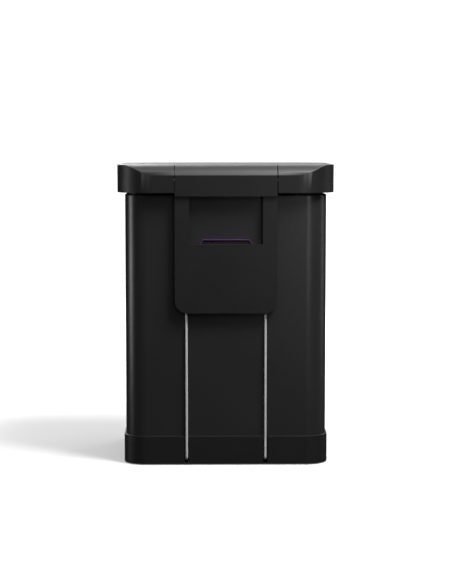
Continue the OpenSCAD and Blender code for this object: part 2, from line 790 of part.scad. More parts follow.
// Cranks keyed to the stubs: each has a radial slot for its link rod's upper hook
module lift_cranks() color(dark_steel) both_sides() translate([crank_x, hinge_y, hinge_z])
    rotate([crank_rest, 0, 0]) difference() {
        union() {
            rotate([0, 90, 0]) cylinder(d = shaft_d + 9, h = hub_l);
            translate([0, -crank_l, -crank_w / 2]) cube([crank_t, crank_l, crank_w]);
            translate([0, -crank_l, 0]) rotate([0, 90, 0]) cylinder(d = crank_w, h = crank_t);
        }
        translate([-over, 0, 0]) rotate([0, 90, 0]) cylinder(d = shaft_d, h = hub_l + 2 * over);
        // Slot, from the pin's nearest to its farthest place from the axis
        for (r = [crank_l * cos(crank_rest) - seat_gap, crank_l + seat_gap])
            translate([-over, -r, 0]) rotate([0, 90, 0])
                cylinder(d = rod_d + 2 * crank_slop, h = crank_t + 2 * over);
        translate([-over, -crank_l - seat_gap, -rod_d / 2 - crank_slop])
            cube([crank_t + 2 * over, crank_l * (1 - cos(crank_rest)) + 2 * seat_gap,
                rod_d + 2 * crank_slop]);
    }

// ---------- press ----------

rail_end = 12;
rail_l = arm_l + 2 * rail_end;
track_h = cross_d + 2 * scissor_slop + 2 * seat_gap;
track_gap = 1;

// Holes that both kinds of rail share: the fixed pivot and the sliding rod's track
module rail_holes(z) {
    translate([pivot_x, rail_y, z]) rod_y_way(cross_d + 2 * run_gap, 4 * rail_t);
    for (x = [drop_x - track_gap, fold_x + track_gap])
        translate([x, rail_y, z]) rod_y_way(track_h, 4 * rail_t);
    translate([drop_x - track_gap, rail_y - 2 * rail_t, z - track_h / 2])
        cube([fold_x - drop_x + 2 * track_gap, 4 * rail_t, track_h]);
}

flange_w = 14;
under_top = overall_h - lid_top_t;
rail_screw_x = [-arm_l / 2 + 30, 0, arm_l / 2 - 62];

module upper_rails() color(dark_steel) both_ends() difference() {
    union() {
        translate([-rail_l / 2, rail_y, upper_z - arm_w / 2])
            cube([rail_l, rail_t, under_top - upper_z + arm_w / 2]);
        translate([-rail_l / 2, rail_y, under_top - 2]) cube([rail_l, flange_w, 2]);
    }
    rail_holes(upper_z);
    for (x = rail_screw_x) translate([x, rail_y + flange_w / 2 + 1, under_top - 3]) cylinder(d = 3.4, h = 6);
}

module rail_screws() color(steel) both_ends() for (x = rail_screw_x)
    translate([x, rail_y + flange_w / 2 + 1, under_top - 2]) mirror([0, 0, 1]) screw(6.5, 1.8, 3.4, 2);

module torsion_springs() color(steel) both_ends() translate([pivot_x, inner_y - 16, upper_z]) difference() {
    rod_y_way(cross_d + 2 * run_gap + 2 * spring_wire, 24);
    rod_y_way(cross_d + 2 * run_gap, 24 + 2 * over);
}

grip_w = 110;
grip_d = 36;

module press_plate() color(grey_plastic) translate([0, press_y, plate_z - plate_t]) difference() {
    rounded_block(press_w, press_d, 22, plate_t);
    translate([0, 0, plate_lip])
        rounded_block(press_w - 2 * plate_lip, press_d - 2 * plate_lip, 22 - plate_lip,
            plate_t - plate_lip - 1.5);
    translate([0, 0, plate_t - 1.5 - eps]) rounded_block(press_w - 32, press_d - 16, 16, plate_t);
    // Finger slot
    translate([0, 0, -over]) rounded_block(grip_w, grip_d, grip_d / 2 - 2, plate_t + 2 * over);
}

pad_t = plate_lip;

module lower_rails() color(dark_steel) both_ends() difference() {
    union() {
        translate([-rail_l / 2, rail_y, plate_z - plate_t + pad_t])
            cube([rail_l, rail_t, lower_z + arm_w / 2 - plate_z + plate_t - pad_t]);
        translate([-rail_l / 2, rail_y, plate_z - plate_t + pad_t]) cube([rail_l, flange_w, 2]);
    }
    rail_holes(lower_z);
}

// Ribs inside the press plate, one grid joined with its rim
module press_pad() color(plastic_black) translate([0, press_y, plate_z - plate_t + pad_t]) difference() {
    union() {
        for (x = [-2:2]) translate([x * 60 - 1.5, -rail_y + 4, 0]) cube([3, 2 * rail_y - 8, 3]);
        for (y = [-1:1]) translate([-150, y * 60 - 1.5, 0]) cube([300, 3, 3]);
    }
    translate([0, 0, -over]) rounded_block(grip_w + 4, grip_d + 4, grip_d / 2, plate_t);
}

// One arm in the XZ plane, from its fixed pivot at the origin, leaning by the angle
module arm(lean, y, hole_d) {
    translate([0, y + arm_t, 0]) rotate([0, lean, 0]) along_y(arm_t) difference() {
        union() {
            translate([0, -arm_w / 2]) square([arm_l, arm_w]);
            for (x = [0, arm_l]) translate([x, 0]) circle(d = arm_w);
        }
        for (x = [0, arm_l]) translate([x, 0]) circle(d = cross_d);
        translate([arm_l / 2, 0]) circle(d = hole_d);
    }
}

module scissor_outer_arms() color(steel) both_ends() translate([pivot_x, 0, upper_z])
    arm(fold_a, outer_y, mid_pin_d);

module scissor_inner_arms() color(steel) both_ends() translate([pivot_x, 0, lower_z])
    arm(-fold_a, inner_y, mid_pin_d + 2 * scissor_slop + 2 * seat_gap);

// Cross rods of the outer arms, and the pins where the arms cross
module scissor_outer_rods() color(steel) {
    translate([pivot_x, press_y, upper_z]) rod_y_way(cross_d, cross_l);
    translate([fold_x, press_y, lower_z]) rod_y_way(cross_d, cross_l);
    both_ends() translate([(pivot_x + fold_x) / 2, (inner_y + outer_y + arm_t) / 2, (upper_z + lower_z) / 2])
        rod_y_way(mid_pin_d, outer_y + arm_t - inner_y + 1);
}

module scissor_inner_rods() color(steel) {
    translate([pivot_x, press_y, lower_z]) rod_y_way(cross_d, cross_l);
    translate([fold_x, press_y, upper_z]) rod_y_way(cross_d, cross_l);
}

lock_h = 8;
lock_y = rail_y + rail_t + 3.5;                  // inner end of the peg when unlocked
lock_l = 16;
lock_d = lock_w - 4;
neck_w = 4;
neck_h = 2.3;
tee_w = 8;
tee_h = 2;
lock_top = upper_z + lock_h / 2;

// Slide that blocks the track behind the dropped rod, at the front end of the press
module press_lock() color(purple) translate([lock_x + lock_d / 2, press_y, 0]) mirror([0, 1, 0]) {
    translate([-lock_d / 2, lock_y, upper_z - lock_h / 2]) cube([lock_d, lock_l, lock_h]);
    translate([-lock_d / 2, lock_y + 8, upper_z - lock_h / 2 - 8]) cube([lock_d, lock_l - 8, 8 + eps]);
    translate([-neck_w / 2, lock_y + 4, lock_top - eps]) cube([neck_w, lock_l - 4, neck_h + 2 * eps]);
    translate([-tee_w / 2, lock_y + 4, lock_top + neck_h]) cube([tee_w, lock_l - 4, tee_h]);
}

module lock_guide() color(plastic_black)
    translate([lock_x + lock_d / 2, press_y, 0]) mirror([0, 1, 0]) difference() {
        translate([-lock_w / 2, lock_y - 1, lock_top + 0.4])
            cube([lock_w, lock_l + 4, under_top - 2 - lock_top - 0.4]);
        translate([-neck_w / 2 - seat_gap, lock_y - 2, lock_top])
            cube([neck_w + 2 * seat_gap, lock_l + 6, neck_h]);
        translate([-tee_w / 2 - seat_gap, lock_y - 2, lock_top + neck_h - seat_gap])
            cube([tee_w + 2 * seat_gap, lock_l + 6, tee_h + 2 * seat_gap]);
    }

// ---------- odour filter ----------

// Outline of the cassette in X and Z, inset by its rim, with cut top corners
module filter_outline(inset) {
    w = filter_w / 2 - inset;
    top = filter_top - inset;
    cut = filter_cut - inset / 2;
    polygon([
        [-w, filter_z + inset], [w, filter_z + inset], [w, top - 1.4 * cut],
        [w - cut, top], [-w + cut, top], [-w, top - 1.4 * cut]
    ]);
}

filter_rear_y = body_rear_y + 1 + filter_t;

module filter_frame() color(purple) difference() {
    translate([0, filter_rear_y, 0]) along_y(filter_t) filter_outline(0);
    translate([0, filter_rear_y + over, 0]) along_y(filter_t - 1 + over) filter_outline(filter_rim);
    // Holes in the back that let air through from the vents
    for (x = [-4:4], z = [1:4]) translate([x * 11, body_rear_y, filter_z + 12 + 16 * z])
        rod_y_way(6, 4 * filter_t);
}

module filter_pad() color(rubber_black) difference() {
    translate([0, filter_rear_y - 1.8, 0]) along_y(filter_t - 3) filter_outline(filter_rim + 0.4);
    translate([-filter_w / 2, body_rear_y, filter_top - 6]) cube([filter_w, 3 * filter_t, 12]);
}

// ---------- nodes ----------

base_tray();
base_bottom_cover();
rubber_feet();
base_screws();
pedal_pivot_pin();
pedal_return_spring();
body_shell();
rim_collar();
inner_bucket();
bag_ring();
hinge_housing();
handle_liner();
hinge_bushes();
soft_close_damper();
housing_screws();
rod_guides();
lid_shell();
lid_top_panel();
lid_liner();
lid_seal();
hinge_stubs();
stub_clips();
lift_cranks();
upper_rails();
torsion_springs();
rail_screws();
lock_guide();
pedal_lever();
pedal_pad();
link_rod_left();
link_rod_right();
rod_end_caps();
press_plate();
lower_rails();
press_pad();
scissor_outer_arms();
scissor_outer_rods();
scissor_inner_arms();
scissor_inner_rods();
press_lock();
filter_frame();
filter_pad();
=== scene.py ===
"""Looks of a manual trash compactor: satin black shells, bright link rods and a soft studio."""

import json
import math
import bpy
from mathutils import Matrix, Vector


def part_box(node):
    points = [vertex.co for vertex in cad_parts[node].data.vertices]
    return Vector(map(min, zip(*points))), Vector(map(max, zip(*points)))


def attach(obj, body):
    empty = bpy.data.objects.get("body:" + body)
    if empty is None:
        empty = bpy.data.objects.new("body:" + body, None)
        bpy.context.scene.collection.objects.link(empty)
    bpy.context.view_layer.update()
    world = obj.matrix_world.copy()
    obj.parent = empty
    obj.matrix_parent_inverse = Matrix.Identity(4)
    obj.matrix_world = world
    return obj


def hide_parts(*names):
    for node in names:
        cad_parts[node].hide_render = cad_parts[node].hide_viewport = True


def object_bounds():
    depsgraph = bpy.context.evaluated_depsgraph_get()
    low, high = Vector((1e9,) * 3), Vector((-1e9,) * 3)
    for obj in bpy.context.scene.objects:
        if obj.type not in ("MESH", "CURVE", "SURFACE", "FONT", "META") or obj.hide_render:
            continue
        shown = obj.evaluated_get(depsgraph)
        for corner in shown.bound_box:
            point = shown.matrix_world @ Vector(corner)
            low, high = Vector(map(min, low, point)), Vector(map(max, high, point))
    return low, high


bl_info = {
    "name": "Manual trash compactor",
    "version": (1, 0, 0),
    "blender": (4, 5, 0),
    "location": "View3D > Sidebar > Compactor",
    "description": "Gives the packed trash compactor its shells, finishes, stage and light",
    "category": "Add Mesh",
}

import bpy
import numpy as np

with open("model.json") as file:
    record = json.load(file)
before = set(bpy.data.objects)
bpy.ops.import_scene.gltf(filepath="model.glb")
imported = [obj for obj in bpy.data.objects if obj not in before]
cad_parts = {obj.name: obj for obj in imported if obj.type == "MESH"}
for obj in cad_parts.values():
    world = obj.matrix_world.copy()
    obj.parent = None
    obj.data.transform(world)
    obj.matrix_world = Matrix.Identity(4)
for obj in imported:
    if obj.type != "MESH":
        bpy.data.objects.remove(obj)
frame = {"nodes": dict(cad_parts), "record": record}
cad_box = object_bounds()
scene = bpy.context.scene


# ---------- properties ----------

class CompactorFinish(bpy.types.PropertyGroup):
    """Colours and textures of the outer pieces"""

    body_colour: bpy.props.FloatVectorProperty(
        name="Body paint", description="Powder coat on the body's sheet", subtype="COLOR",
        size=3, min=0, max=1, default=(0.009, 0.0087, 0.0095))
    shell_colour: bpy.props.FloatVectorProperty(
        name="Shell plastic", description="Moulded plastic of the lid, housing and base", subtype="COLOR",
        size=3, min=0, max=1, default=(0.0032, 0.0032, 0.0034))
    trim_colour: bpy.props.FloatVectorProperty(
        name="Trim plastic", description="Purple trim of the filter cassette and the press lock", subtype="COLOR",
        size=3, min=0, max=1, default=(0.06, 0.02, 0.08))
    bucket_colour: bpy.props.FloatVectorProperty(
        name="Bucket plastic", description="Grey plastic of the bucket and the press plate", subtype="COLOR",
        size=3, min=0, max=1, default=(0.05, 0.05, 0.053))
    grain_size: bpy.props.FloatProperty(
        name="Grain size", description="Size of the grain moulded into the plastic", subtype="DISTANCE",
        unit="LENGTH", default=0.0006)
    spring_wire: bpy.props.FloatProperty(
        name="Spring wire", description="Thickness of the springs' wire", subtype="DISTANCE",
        unit="LENGTH", default=0.0018)
    rib_pitch: bpy.props.FloatProperty(
        name="Rib pitch", description="From one rib of the pedal to the next", subtype="DISTANCE",
        unit="LENGTH", default=0.007)
    rib_depth: bpy.props.FloatProperty(
        name="Rib depth", description="Depth of the grooves between the pedal's ribs", subtype="DISTANCE",
        unit="LENGTH", default=0.001)
    pedal_tip: bpy.props.FloatProperty(
        name="Pedal slope", description="How far the pedal's lever stands up from level at rest",
        subtype="ANGLE", unit="ROTATION", default=math.radians(4.456))


class CompactorStage(bpy.types.PropertyGroup):
    """Camera, floor and light"""

    lens: bpy.props.FloatProperty(
        name="Lens", description="Focal length on a 36 mm sensor", subtype="DISTANCE_CAMERA", default=100.0)
    camera_distance: bpy.props.FloatProperty(
        name="Camera distance", description="From the rear of the lid to the camera", subtype="DISTANCE",
        unit="LENGTH", default=3.513)
    camera_height: bpy.props.FloatProperty(
        name="Camera height", description="Above the floor", subtype="DISTANCE", unit="LENGTH", default=0.715)
    camera_tilt: bpy.props.FloatProperty(
        name="Camera tilt", description="Downward tilt of the camera", subtype="ANGLE", unit="ROTATION",
        default=math.radians(5.376))
    key_power: bpy.props.FloatProperty(
        name="Key power", description="Power of the main softbox, in watts", default=300.0)
    floor_colour: bpy.props.FloatVectorProperty(
        name="Floor", description="Pale floor", subtype="COLOR", size=3, min=0, max=1, default=(0.36, 0.36, 0.36))
    dome_light: bpy.props.FloatProperty(
        name="Dome light", description="Brightness of the white dome overhead", default=1.2)


# ---------- shader maths ----------

class Shade:
    """A socket of a material's node tree, with arithmetic that adds Math nodes."""

    def __init__(self, graph, socket):
        self.graph = graph
        self.socket = socket

    def _math(self, operation, a, b):
        return self.graph.node("ShaderNodeMath", {"operation": operation}, {0: a, 1: b})

    def __add__(self, other):
        return self._math("ADD", self, other)

    def __radd__(self, other):
        return self._math("ADD", other, self)

    def __mul__(self, other):
        return self._math("MULTIPLY", self, other)

    def __rmul__(self, other):
        return self._math("MULTIPLY", other, self)

    def ramp(self, low, high):
        """0 below low, 1 above high, and a smooth step in between."""
        return self.graph.node(
            "ShaderNodeMapRange", {"interpolation_type": "SMOOTHSTEP"}, {"Value": self, 1: low, 2: high})


class Graph:
    """The nodes of one material, or of the world."""

    def __init__(self, owner, output="ShaderNodeOutputMaterial", place="Object"):
        self.owner = owner
        owner.use_nodes = True
        self.tree = owner.node_tree
        self.tree.nodes.clear()
        self.output = self.tree.nodes.new(output)
        self.place = self.node("ShaderNodeTexCoord", {}, {}, place)

    def node(self, kind, settings, values, output=0):
        """Adds a node, sets its settings, then its sockets' values or links, and returns one output."""
        made = self.tree.nodes.new(kind)
        for key, value in settings.items():
            setattr(made, key, value)
        for key, value in values.items():
            if isinstance(value, Shade):
                self.tree.links.new(value.socket, made.inputs[key])
            else:
                made.inputs[key].default_value = value
        return Shade(self, made.outputs[output])

    def noise(self, scale, detail=2.0, rough=0.5, stretch=(1, 1, 1)):
        """Noise from 0 to 1 on Object coordinates, scale in cycles per metre."""
        place = self.node("ShaderNodeMapping", {}, {"Vector": self.place, "Scale": stretch})
        return self.node(
            "ShaderNodeTexNoise", {},
            {"Vector": place, "Scale": scale, "Detail": detail, "Roughness": rough})

    def cells(self, scale, feature="F1"):
        """Distance to the nearest cell's centre, scale in cells per metre."""
        return self.node(
            "ShaderNodeTexVoronoi", {"feature": feature}, {"Vector": self.place, "Scale": scale}, "Distance")

    def blend(self, a, b, share):
        """Colour a, towards colour b by share."""
        colours = {6: (*a, 1) if isinstance(a, tuple) else a, 7: (*b, 1) if isinstance(b, tuple) else b}
        return self.node("ShaderNodeMix", {"data_type": "RGBA"}, {0: share, **colours}, 2)

    def bump(self, height, distance, strength=1.0, normal=None):
        values = {"Height": height, "Distance": distance, "Strength": strength}
        if normal is not None:
            values["Normal"] = normal
        return self.node("ShaderNodeBump", {}, values)

    def finish(self, **sockets):
        """Adds the surface shader; keys are its sockets' names with _ for spaces."""
        values = {key.replace("_", " "): value for key, value in sockets.items()}
        return self.surface(self.node("ShaderNodeBsdfPrincipled", {}, values))

    def surface(self, shader):
        self.tree.links.new(shader.socket, self.output.inputs["Surface"])
        return self.owner


def moulded_plastic(name, colour, grain=0.0006, rough=0.44, bump=0.00002, ior=1.42):
    """Moulded plastic: fine raised cells, and a faint cloudiness in its gloss."""
    g = Graph(bpy.data.materials.new(name))
    fine = g.noise(1 / grain, 2.0, 0.6)
    pits = g.cells(0.7 / grain, "SMOOTH_F1")
    height = fine * 0.6 + pits * 0.4
    sheen = g.noise(22.0, 3.0, 0.55)
    roughness = sheen * 0.08 + fine * 0.04 + (rough - 0.06)
    tone = g.blend(colour, tuple(c * 1.35 + 0.0006 for c in colour), fine.ramp(0.35, 0.75))
    return g.finish(Base_Color=tone, Roughness=roughness, IOR=ior, Normal=g.bump(height, bump))


def powder_coat(name, colour, rough=0.34):
    """Powder coat on sheet steel: fine orange peel over a faint long wave of the sheet."""
    g = Graph(bpy.data.materials.new(name))
    peel = g.noise(900.0, 1.5, 0.5)
    speck = g.noise(4200.0, 1.0, 0.5)
    wave = g.noise(3.2, 1.0, 0.4)
    sheet = g.bump(wave, 0.004, 0.35)
    skin = g.bump(peel * 0.75 + speck * 0.25, 0.000035, 1.0, sheet)
    gloss = g.noise(9.0, 3.0, 0.5)
    tone = g.blend(colour, tuple(c * 1.5 for c in colour), speck.ramp(0.45, 0.8))
    return g.finish(Base_Color=tone, Roughness=gloss * 0.08 + peel * 0.05 + (rough - 0.06), IOR=1.5, Normal=skin)


def drawn_steel(name, colour=(0.6, 0.6, 0.61), rough=0.42, along=(1, 1, 0.004)):
    """Bright drawn steel: fine lines along the draw, and slight dulling."""
    g = Graph(bpy.data.materials.new(name))
    lines = g.noise(2600.0, 3.0, 0.6, along)
    dull = g.noise(9.0, 2.0, 0.5)
    tone = g.blend(colour, tuple(c * 0.85 for c in colour), (lines * 0.6 + dull * 0.4).ramp(0.4, 0.75))
    return g.finish(
        Base_Color=tone, Metallic=0.55, Roughness=lines * 0.14 + dull * 0.08 + (rough - 0.1),
        Normal=g.bump(lines, 0.00001, 0.6))


def zinc_steel(name, colour=(0.5, 0.5, 0.49), rough=0.34):
    """Zinc-plated steel: a faint crystal mottling."""
    g = Graph(bpy.data.materials.new(name))
    patch = g.cells(420.0)
    fine = g.noise(1500.0, 2.0, 0.6)
    tone = g.blend(colour, tuple(c * 0.6 for c in colour), (patch * 0.6 + fine * 0.4).ramp(0.25, 0.75))
    return g.finish(Base_Color=tone, Metallic=1.0, Roughness=fine * 0.12 + patch * 0.1 + (rough - 0.1),
                    Normal=g.bump(fine, 0.00001))


def soft_rubber(name, colour=(0.008, 0.008, 0.008)):
    """Matt rubber with a dusty bloom."""
    g = Graph(bpy.data.materials.new(name))
    dust = g.noise(180.0, 4.0, 0.6)
    fine = g.noise(2400.0, 2.0, 0.6)
    tone = g.blend(colour, (0.02, 0.02, 0.019), dust.ramp(0.5, 0.85))
    return g.finish(Base_Color=tone, Roughness=dust * 0.1 + 0.62, Normal=g.bump(fine, 0.00003))


def carbon_foam(name):
    """Open-cell foam loaded with carbon: painted shade darkens the cells' pores, leaving the walls between them
    lighter. Its near-black tone and weak gloss are partly the carbon's own colour and partly painted shade for the
    dark mouth of the filter cassette.
    """
    g = Graph(bpy.data.materials.new(name))
    cell = g.cells(700.0)
    # painted shade: the pores at the cells' centres are darkened, and the walls between them stay lighter
    painted_pore_shade = cell.ramp(0.25, 0.6)
    tone = g.blend((0.0015, 0.0015, 0.0015), (0.012, 0.012, 0.012), painted_pore_shade)
    return g.finish(Base_Color=tone, Roughness=0.95, Specular_IOR_Level=0.15, Normal=g.bump(cell, 0.0008))


# ---------- shapes ----------

FLAT = 0.4      # degrees between faces that count as one flat face
SHARP = 40.0    # degrees at an edge that gets a radius


def soften(piece, width):
    """Rounds the sharp edges of a piece: its flat faces are joined, then each edge gets a small radius."""
    weld = piece.modifiers.new("weld", "WELD")
    weld.merge_threshold = 0.00001
    flat = piece.modifiers.new("flats", "DECIMATE")
    flat.decimate_type = "DISSOLVE"
    flat.angle_limit = math.radians(FLAT)
    edge = piece.modifiers.new("edges", "BEVEL")
    edge.limit_method = "ANGLE"
    edge.angle_limit = math.radians(SHARP)
    edge.width = width
    edge.segments = 2
    edge.use_clamp_overlap = True
    even = piece.modifiers.new("shading", "WEIGHTED_NORMAL")
    even.keep_sharp = True
    even.weight = 60


def piece(name, points, faces, finish, body, *nodes):
    """Makes a mesh piece that rides on a body, wears a finish and stands for its CAD nodes."""
    mesh = bpy.data.meshes.new(name)
    mesh.from_pydata(points.tolist(), [], faces)
    mesh.shade_smooth()
    made = bpy.data.objects.new(name, mesh)
    scene.collection.objects.link(made)
    made.data.materials.append(finish)
    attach(made, body)
    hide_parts(*nodes)
    return made


def shell_faces(rows, columns, first=0):
    """Faces of a closed shell: quads between neighbouring rings of points, and one face over each end ring."""
    row, column = np.meshgrid(np.arange(rows - 1), np.arange(columns), indexing="ij")
    here = first + row * columns + column
    beside = first + row * columns + (column + 1) % columns
    quads = np.stack([here, beside, beside + columns, here + columns], -1).reshape(-1, 4)
    ends = first + np.arange(columns)
    return [*quads.tolist(), ends[::-1].tolist(), (ends + (rows - 1) * columns).tolist()]


def wire(path, radius, axis, sides=10):
    """Round wire along a path: P + r (cos a N + sin a B), where T is the path's direction, B is the part of
    the coil's axis square to T, and N = B x T. The first and last rings are drawn in to round the ends."""
    ahead = np.gradient(path, axis=0)
    ahead /= np.linalg.norm(ahead, axis=1, keepdims=True)
    axis = np.array(axis, float)
    side = axis - (ahead @ axis)[:, None] * ahead
    side /= np.linalg.norm(side, axis=1, keepdims=True)
    out = np.cross(side, ahead)
    turn = np.linspace(0, 2 * math.pi, sides, endpoint=False)
    size = np.full(len(path), radius)
    size[[0, -1]] *= 0.6
    rings = path[:, None] + size[:, None, None] * (
        np.cos(turn)[None, :, None] * out[:, None] + np.sin(turn)[None, :, None] * side[:, None])
    return rings.reshape(-1, 3), shell_faces(len(path), sides)


def coil_path(start, along, across, radius, length, turns, leg):
    """Centreline of a torsion spring: c + r (cos a U + sin a V) + k a W round the axis W, from a = 0 to
    2 pi turns, between two straight legs that leave the coil along its tangent."""
    along, across = np.array(along, float), np.array(across, float)
    third = np.cross(along, across)
    angle = np.linspace(0, 2 * math.pi * turns, int(turns * 28) + 1)
    coil = radius * (np.cos(angle)[:, None] * across + np.sin(angle)[:, None] * third)
    coil += (length * (angle / angle[-1] - 0.5))[:, None] * along
    reach = np.linspace(0, leg, 7)[1:, None]
    first = coil[0] - reach[::-1] * third
    last = coil[-1] + reach * (np.cos(angle[-1]) * third - np.sin(angle[-1]) * across)
    return np.array(start, float) + np.concatenate([first, coil, last])


def turned(centre, profile, sides=40):
    """Piece turned about an upright axis: (r cos a, r sin a, z) for each point (r, z) of the profile."""
    turn = np.linspace(0, 2 * math.pi, sides, endpoint=False)
    radius, height = np.array(profile, float).T
    rings = np.stack([
        radius[:, None] * np.cos(turn), radius[:, None] * np.sin(turn),
        np.broadcast_to(height[:, None], (len(radius), sides))], -1)
    return rings.reshape(-1, 3) + np.array(centre, float), shell_faces(len(radius), sides)


def joined(parts):
    """Several (points, faces) as one."""
    points, faces, count = [], [], 0
    for some, their in parts:
        points.append(some)
        faces += [[count + i for i in face] for face in their]
        count += len(some)
    return np.concatenate(points), faces


def pedal_grid(width, depth, nose, ribs, pitch, groove, edge=0.0025):
    """Pedal pad, level, its nose's centre at the origin. Its section runs round the nose, r (sin a, cos a),
    back along the top and home underneath. The top sinks by groove (1 + cos(2 pi s / pitch)) / 2 over the
    ribbed length, and fades out near the sides. Each side is rounded: the section shrinks by
    e - sqrt(e^2 - d^2), with d the distance into the last e of the width."""
    front = np.linspace(math.pi, 2 * math.pi, 25)[:-1]
    run = np.linspace(0, depth - nose - edge, 181)
    back = np.linspace(0, math.pi / 2, 7)[1:]
    under = np.linspace(depth - nose - edge, 0, 12)[:-1]
    s = np.concatenate([nose * np.sin(front), run, depth - nose - edge + edge * np.sin(back),
                        depth - nose - edge + edge * np.cos(back), under])
    t = np.concatenate([nose * np.cos(front), np.full(181, nose), nose - edge + edge * np.cos(back),
                        -nose + edge - edge * np.sin(back), np.full(11, -nose)])
    inner = width / 2 - edge
    turn = np.linspace(0, math.pi / 2, 7)
    x = np.concatenate([-inner - edge * np.cos(turn), np.linspace(-inner, inner, 60)[1:-1],
                        inner + edge * np.cos(turn[::-1])])
    lost = np.concatenate([edge * (1 - np.sin(turn)), np.zeros(58), edge * (1 - np.sin(turn[::-1]))])
    on_top = (t > nose - 1e-6) & (s > 0.001) & (s < 0.001 + ribs * pitch)
    wave = on_top * groove * (1 - np.cos(2 * math.pi * (s - 0.001) / pitch)) / 2
    fade = np.clip((width / 2 - 0.006 - np.abs(x)) / 0.003, 0, 1)
    middle = (depth - 2 * nose) / 2
    shrink_t = 1 - lost[:, None] / nose
    shrink_s = 1 - lost[:, None] / (depth / 2)
    points = np.stack([
        np.broadcast_to(x[:, None], (len(x), len(s))),
        middle + (s[None] - middle) * shrink_s,
        t[None] * shrink_t - wave[None] * fade[:, None]], -1)
    return points.reshape(-1, 3), shell_faces(len(x), len(s))


# ---------- pieces ----------

def finish_of(slot):
    """The finish made for a material slot of the record."""
    return bpy.data.materials[slot]


class COMPACTOR_OT_springs(bpy.types.Operator):
    """Wound springs on the scissor's pivots and on the pedal's pin"""

    bl_idname = "compactor.springs"
    bl_label = "Springs"

    def execute(self, context):
        f = context.scene.compactor_finish
        thick, inner = f.spring_wire, 0.008 / 2 + 0.0001
        radius = inner + thick / 2
        low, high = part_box("torsion_springs")
        x, z = (low.x + high.x) / 2, (low.z + high.z) / 2
        length = 0.024 - thick
        places = [(x, low.y + 0.012, z, 1), (x, high.y - 0.012, z, -1)]
        coils = [
            wire(coil_path(place[:3], (0, place[3], 0), (0, 0, 1), radius, length, 10.0, 0.016), thick / 2, (0, 1, 0))
            for place in places]
        points, faces = joined(coils)
        piece("press_springs", points, faces, finish_of("zinc_steel"), "lid", "torsion_springs")
        low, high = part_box("pedal_return_spring")
        y, z = (low.y + high.y) / 2, (low.z + high.z) / 2
        path = coil_path((0, y, z), (1, 0, 0), (0, 0, -1), radius, 0.028 - thick, 12.0, 0.012)
        points, faces = wire(path, thick / 2, (1, 0, 0))
        piece("pedal_spring", points, faces, finish_of("zinc_steel"), "cabinet", "pedal_return_spring")
        return {"FINISHED"}


class COMPACTOR_OT_feet(bpy.types.Operator):
    """Rubber feet with a rolled edge and two grip rings underneath"""

    bl_idname = "compactor.feet"
    bl_label = "Rubber feet"

    def execute(self, context):
        low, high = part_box("rubber_feet")
        radius, roll_r, groove = 0.013, 0.0008, 0.0005
        centre_r, tall = 0.0002, high.z
        roll = np.linspace(0, math.pi / 2, 6)
        rings = np.linspace(0, radius - roll_r, 40)
        under = groove * (np.cos(rings / (radius - roll_r) * 4 * math.pi) < -0.3)
        profile = [
            (centre_r, tall), *[(r, tall) for r in (0.5 * radius, radius)],
            *[(radius - roll_r + roll_r * math.cos(a), roll_r - roll_r * math.sin(a)) for a in roll],
            *[(r, u) for r, u in zip(rings[::-1][1:-1], under[::-1][1:-1])], (centre_r, 0.0)]
        centres = [(x, y, 0) for x in (low.x + radius, high.x - radius) for y in (low.y + radius, high.y - radius)]
        points, faces = joined([turned(centre, profile[::-1]) for centre in centres])
        piece("grip_feet", points, faces, finish_of("black_rubber"), "cabinet", "rubber_feet")
        return {"FINISHED"}


class COMPACTOR_OT_pedal(bpy.types.Operator):
    """Pedal pad with rounded ribs across its tread"""

    bl_idname = "compactor.pedal"
    bl_label = "Pedal pad"

    def execute(self, context):
        f = context.scene.compactor_finish
        low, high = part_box("pedal_pad")
        nose, depth = 0.005, 0.046
        tip = f.pedal_tip
        points, faces = pedal_grid(high.x - low.x, depth, nose, 5, f.rib_pitch, f.rib_depth)
        x, s, t = points.T
        y = s * math.cos(tip) + t * math.sin(tip)
        z = t * math.cos(tip) - s * math.sin(tip)
        made = np.stack([x, y, z], 1)
        made[:, 1] += low.y - made[:, 1].min()
        made[:, 2] += low.z - made[:, 2].min()
        piece("pedal_tread", made, faces, finish_of("base_plastic"), "pedal", "pedal_pad")
        return {"FINISHED"}


# ---------- stage ----------

FLOOR_REACH = 30.0
CAMERA_SIDE = 0.05          # x of the camera
AIM_SIDE = -0.001           # x of the point the camera is turned to
AIM_DEPTH = 0.085           # how far that point is forward of the bin's rear
DOME_FOOT, DOME_TOP = 0.18, 0.66    # upward part of a direction where the dome's light starts and is full
HORIZON_LIGHT = 0.012
BACKDROP_LIGHT = 1.1
LIGHTS = [
    # name, place, point it faces, width and height in metres, power in watts
    ("side", (2.4, 0.15, 0.34), (0, 0.1, 0.34), (0.7, 0.62), 8.5),
    ("front right", (-0.8, 1.55, 1.3), (-0.1, 0.2, 0.45), (0.5, 0.4), 2.4),
    ("low right", (-0.58, 1.7, 0.5), (-0.2, 0.2, 0.5), (0.22, 0.3), 1.45),
    ("front left", (0.85, 1.6, 1.2), (0.1, 0.2, 0.45), (0.5, 0.4), 1.2),
    ("back", (0.4, -2.6, 1.9), (0, 0.1, 0.6), (2.4, 0.8), 14.0),
    ("far left", (0.9, -2.5, 2.1), (0, -0.1, 0.3), (0.7, 0.9), 60.0),
    ("far right", (-1.3, -2.0, 1.9), (0, -0.1, 0.3), (0.5, 0.9), 24.0),
    ("far middle", (0.0, -3.2, 0.45), (0, -0.1, 0.33), (0.36, 0.36), 8.0),
    ("side right", (-2.4, -0.5, 0.34), (0, 0, 0.34), (0.5, 0.62), 1.6),
]


